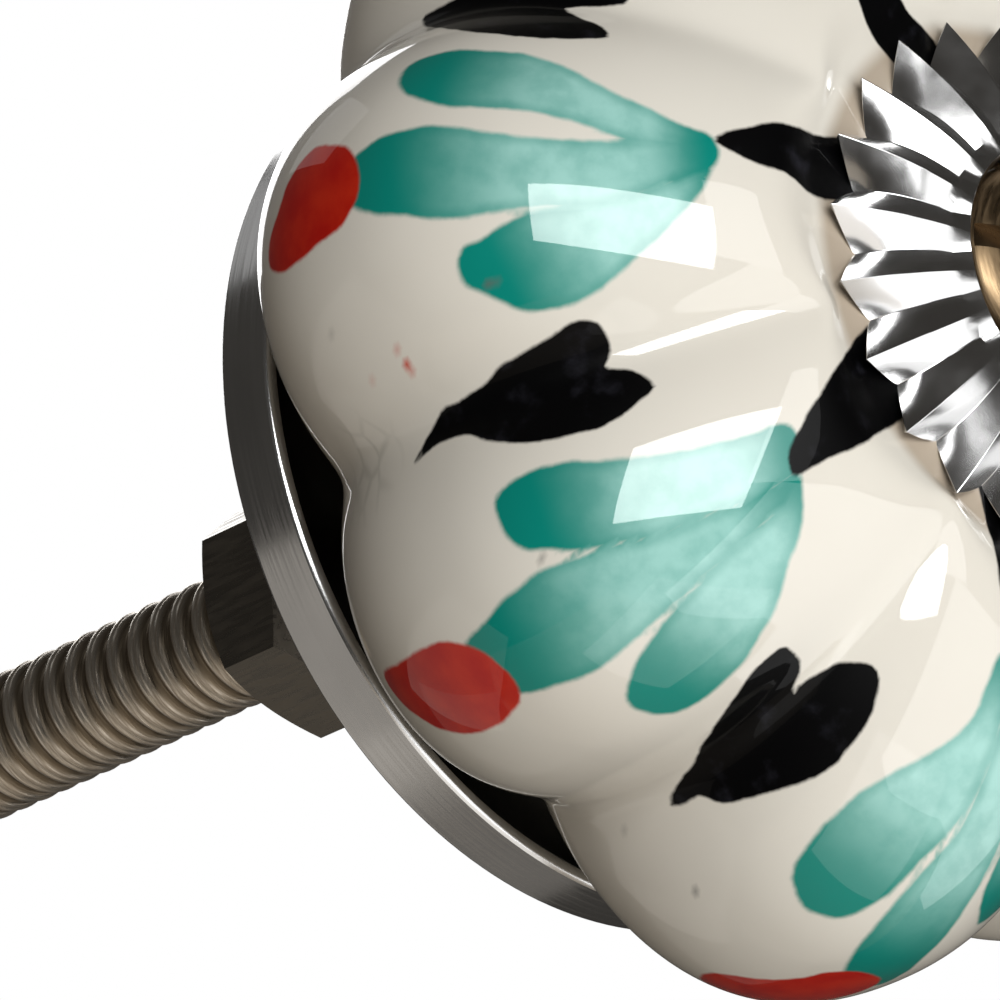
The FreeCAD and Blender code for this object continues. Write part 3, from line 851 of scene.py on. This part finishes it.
class KNOB_OT_nut(bpy.types.Operator):
    """Builds the hexagonal nut with its chamfered ends"""

    bl_idname = "knob.nut"
    bl_label = "Nut"

    def execute(self, context):
        s = context.scene.knob_sizes
        clear_selection()
        corner = s.nut_flats / math.sqrt(3)
        back = -s.nut_depth
        front = back + s.nut_height
        middle = (0, 0, back + s.nut_height / 2)
        bpy.ops.mesh.primitive_cylinder_add(vertices=6, radius=corner, depth=s.nut_height, location=middle)
        nut = bpy.context.object
        nut.name = "nut_hexagon"
        nut.rotation_euler = (0, 0, math.radians(30))
        bpy.ops.object.transform_apply(location=True, rotation=True, scale=True)
        fall = math.tan(math.radians(30))
        wide = corner * 1.02
        face = s.nut_flats / 2 - 0.1 * MM
        inset = 0.2 * MM
        rings = [
            (inset, back - inset),
            (face, back - inset),
            (face, back),
            (wide, back + (wide - face) * fall),
            (wide, front - (wide - face) * fall),
            (face, front),
            (face, front + inset),
            (inset, front + inset),
        ]
        shape = pull_rings("nut_shape", NUT_COLUMNS, rings, False)
        close_ends(shape, NUT_COLUMNS, len(rings))
        outward(shape)
        cut_with(nut, shape, "INTERSECT")
        clear_selection()
        bpy.ops.mesh.primitive_cylinder_add(
            vertices=NUT_COLUMNS, radius=s.bolt_radius, depth=3 * s.nut_height, location=middle
        )
        cut_with(nut, bpy.context.object, "DIFFERENCE")
        sharp = math.radians(25)
        apply_modifier(nut, "BEVEL", width=0.07 * MM, segments=2, limit_method="ANGLE", angle_limit=sharp)
        outward(nut)
        material = metal("nut_steel", context.scene.knob_colours.nickel, 0.3, (6000, 500, 6000))
        finish_piece(nut, "hex_nut", material, NUT_TURN, 25)
        return {"FINISHED"}


WHITE = (1.0, 1.0, 1.0)
WARM = (1.0, 0.93, 0.84)
# Soft boxes: name, degrees round from the front, degrees above the level, distance, size, glow and colour.
LIGHTS = (
    ("key", -28, -4, 0.6, (0.44, 0.285), 7.7, WHITE),
    ("strip", -2, 4, 0.6, (0.15, 0.3), 1.9, WHITE),
    ("front", 34, -35, 0.7, (1.05, 0.6), 1.55, WHITE),
    ("back", -152, -32, 0.6, (0.6, 0.4), 0.29, WARM),
    ("low", 168, -42, 0.6, (0.5, 0.5), 0.12, WARM),
    ("top", 150, 38, 0.6, (0.35, 0.3), 2.6, WHITE),
    ("rim", -158, 44, 0.6, (0.25, 0.16), 0.32, WHITE),
    ("under", 0, -62, 0.45, (0.35, 0.35), 0.7, WHITE),
)
BACKDROP = (1.0, 1.0, 1.0, 1.0)
ROOM = (0.045, 0.036, 0.028, 1.0)
ROOM_MIRRORED = (0.045, 0.042, 0.038, 1.0)
FLOOR_SIZE = 0.8
FLOOR_HEIGHT = -0.5
CAMERA_PLACE = (-0.19064, -0.20490, -0.13101)
CAMERA_TURN = (115.0, -0.187, -42.535)
CAMERA_LENS = 333.02


class KNOB_OT_stage(bpy.types.Operator):
    """Sets the floor, the soft lights and the camera"""

    bl_idname = "knob.stage"
    bl_label = "Stage"

    def light(self, name, around, above, distance, size, glow, colour):
        """A soft box seen from the knob at so many degrees round from the front and above the level."""
        data = bpy.data.lights.new(name, "AREA")
        data.shape = "RECTANGLE"
        data.size, data.size_y = size
        data.energy = glow * math.pi * size[0] * size[1]
        data.color = colour
        lamp = bpy.data.objects.new(name, data)
        bpy.context.scene.collection.objects.link(lamp)
        turn, lean = math.radians(around), math.radians(above)
        aim = Vector((math.sin(turn) * math.cos(lean), -math.cos(turn) * math.cos(lean), math.sin(lean)))
        lamp.location = aim * distance
        lamp.rotation_euler = aim.to_track_quat("Z", "Y").to_euler()

    def floor(self):
        clear_selection()
        bpy.ops.mesh.primitive_plane_add(size=FLOOR_SIZE, location=(0, 0, FLOOR_HEIGHT))
        floor = bpy.context.object
        floor.name = "floor"
        ground = Shader("floor")
        floor.data.materials.append(ground.set(Base_Color=(0.74, 0.66, 0.55), Roughness=0.9))

    def world(self):
        """White where the camera looks past the knob, a dim room for everything else."""
        world = bpy.data.worlds.new("studio")
        world.use_nodes = True
        tree = world.node_tree
        path = tree.nodes.new("ShaderNodeLightPath")
        backdrop = tree.nodes.new("ShaderNodeMix")
        backdrop.data_type = "RGBA"
        backdrop.inputs[7].default_value = BACKDROP
        room = tree.nodes.new("ShaderNodeMix")
        room.data_type = "RGBA"
        room.inputs[6].default_value = ROOM
        room.inputs[7].default_value = ROOM_MIRRORED
        tree.links.new(path.outputs["Is Glossy Ray"], room.inputs[0])
        tree.links.new(room.outputs[2], backdrop.inputs[6])
        tree.links.new(path.outputs["Is Camera Ray"], backdrop.inputs[0])
        tree.links.new(backdrop.outputs[2], tree.nodes["Background"].inputs["Color"])
        return world

    def camera(self):
        data = bpy.data.cameras.new("camera")
        data.sensor_width = 36.0
        data.lens = CAMERA_LENS
        data.clip_start = 0.01
        camera = bpy.data.objects.new("camera", data)
        bpy.context.scene.collection.objects.link(camera)
        camera.location = CAMERA_PLACE
        camera.rotation_euler = [math.radians(angle) for angle in CAMERA_TURN]
        return camera

    def execute(self, context):
        scene = context.scene
        self.floor()
        scene.world = self.world()
        for row in LIGHTS:
            self.light(*row)
        scene.camera = self.camera()
        scene.view_settings.view_transform = "Standard"
        return {"FINISHED"}


STEPS = (
    KNOB_OT_ceramic,
    KNOB_OT_rosette,
    KNOB_OT_bolt,
    KNOB_OT_plate,
    KNOB_OT_nut,
    KNOB_OT_stage,
)


class KNOB_PT_panel(bpy.types.Panel):
    """Lists the knob's sizes, colours and steps"""

    bl_idname = "KNOB_PT_panel"
    bl_label = "Cabinet knob"
    bl_space_type = "VIEW_3D"
    bl_region_type = "UI"
    bl_category = "Knob"

    def draw(self, context):
        for group in (context.scene.knob_sizes, context.scene.knob_colours):
            for name in group.__annotations__:
                self.layout.prop(group, name)
        for step in STEPS:
            self.layout.operator(step.bl_idname)


CLASSES = (KnobSizes, KnobColours, *STEPS, KNOB_PT_panel)


def register():
    for item in CLASSES:
        bpy.utils.register_class(item)
    bpy.types.Scene.knob_sizes = bpy.props.PointerProperty(type=KnobSizes)
    bpy.types.Scene.knob_colours = bpy.props.PointerProperty(type=KnobColours)


def unregister():
    del bpy.types.Scene.knob_sizes
    del bpy.types.Scene.knob_colours
    for item in reversed(CLASSES):
        bpy.utils.unregister_class(item)


def main():
    register()
    bpy.ops.knob.ceramic()
    bpy.ops.knob.rosette()
    bpy.ops.knob.bolt()
    bpy.ops.knob.plate()
    bpy.ops.knob.nut()
    bpy.ops.knob.stage()


if __name__ == "__main__":
    main()
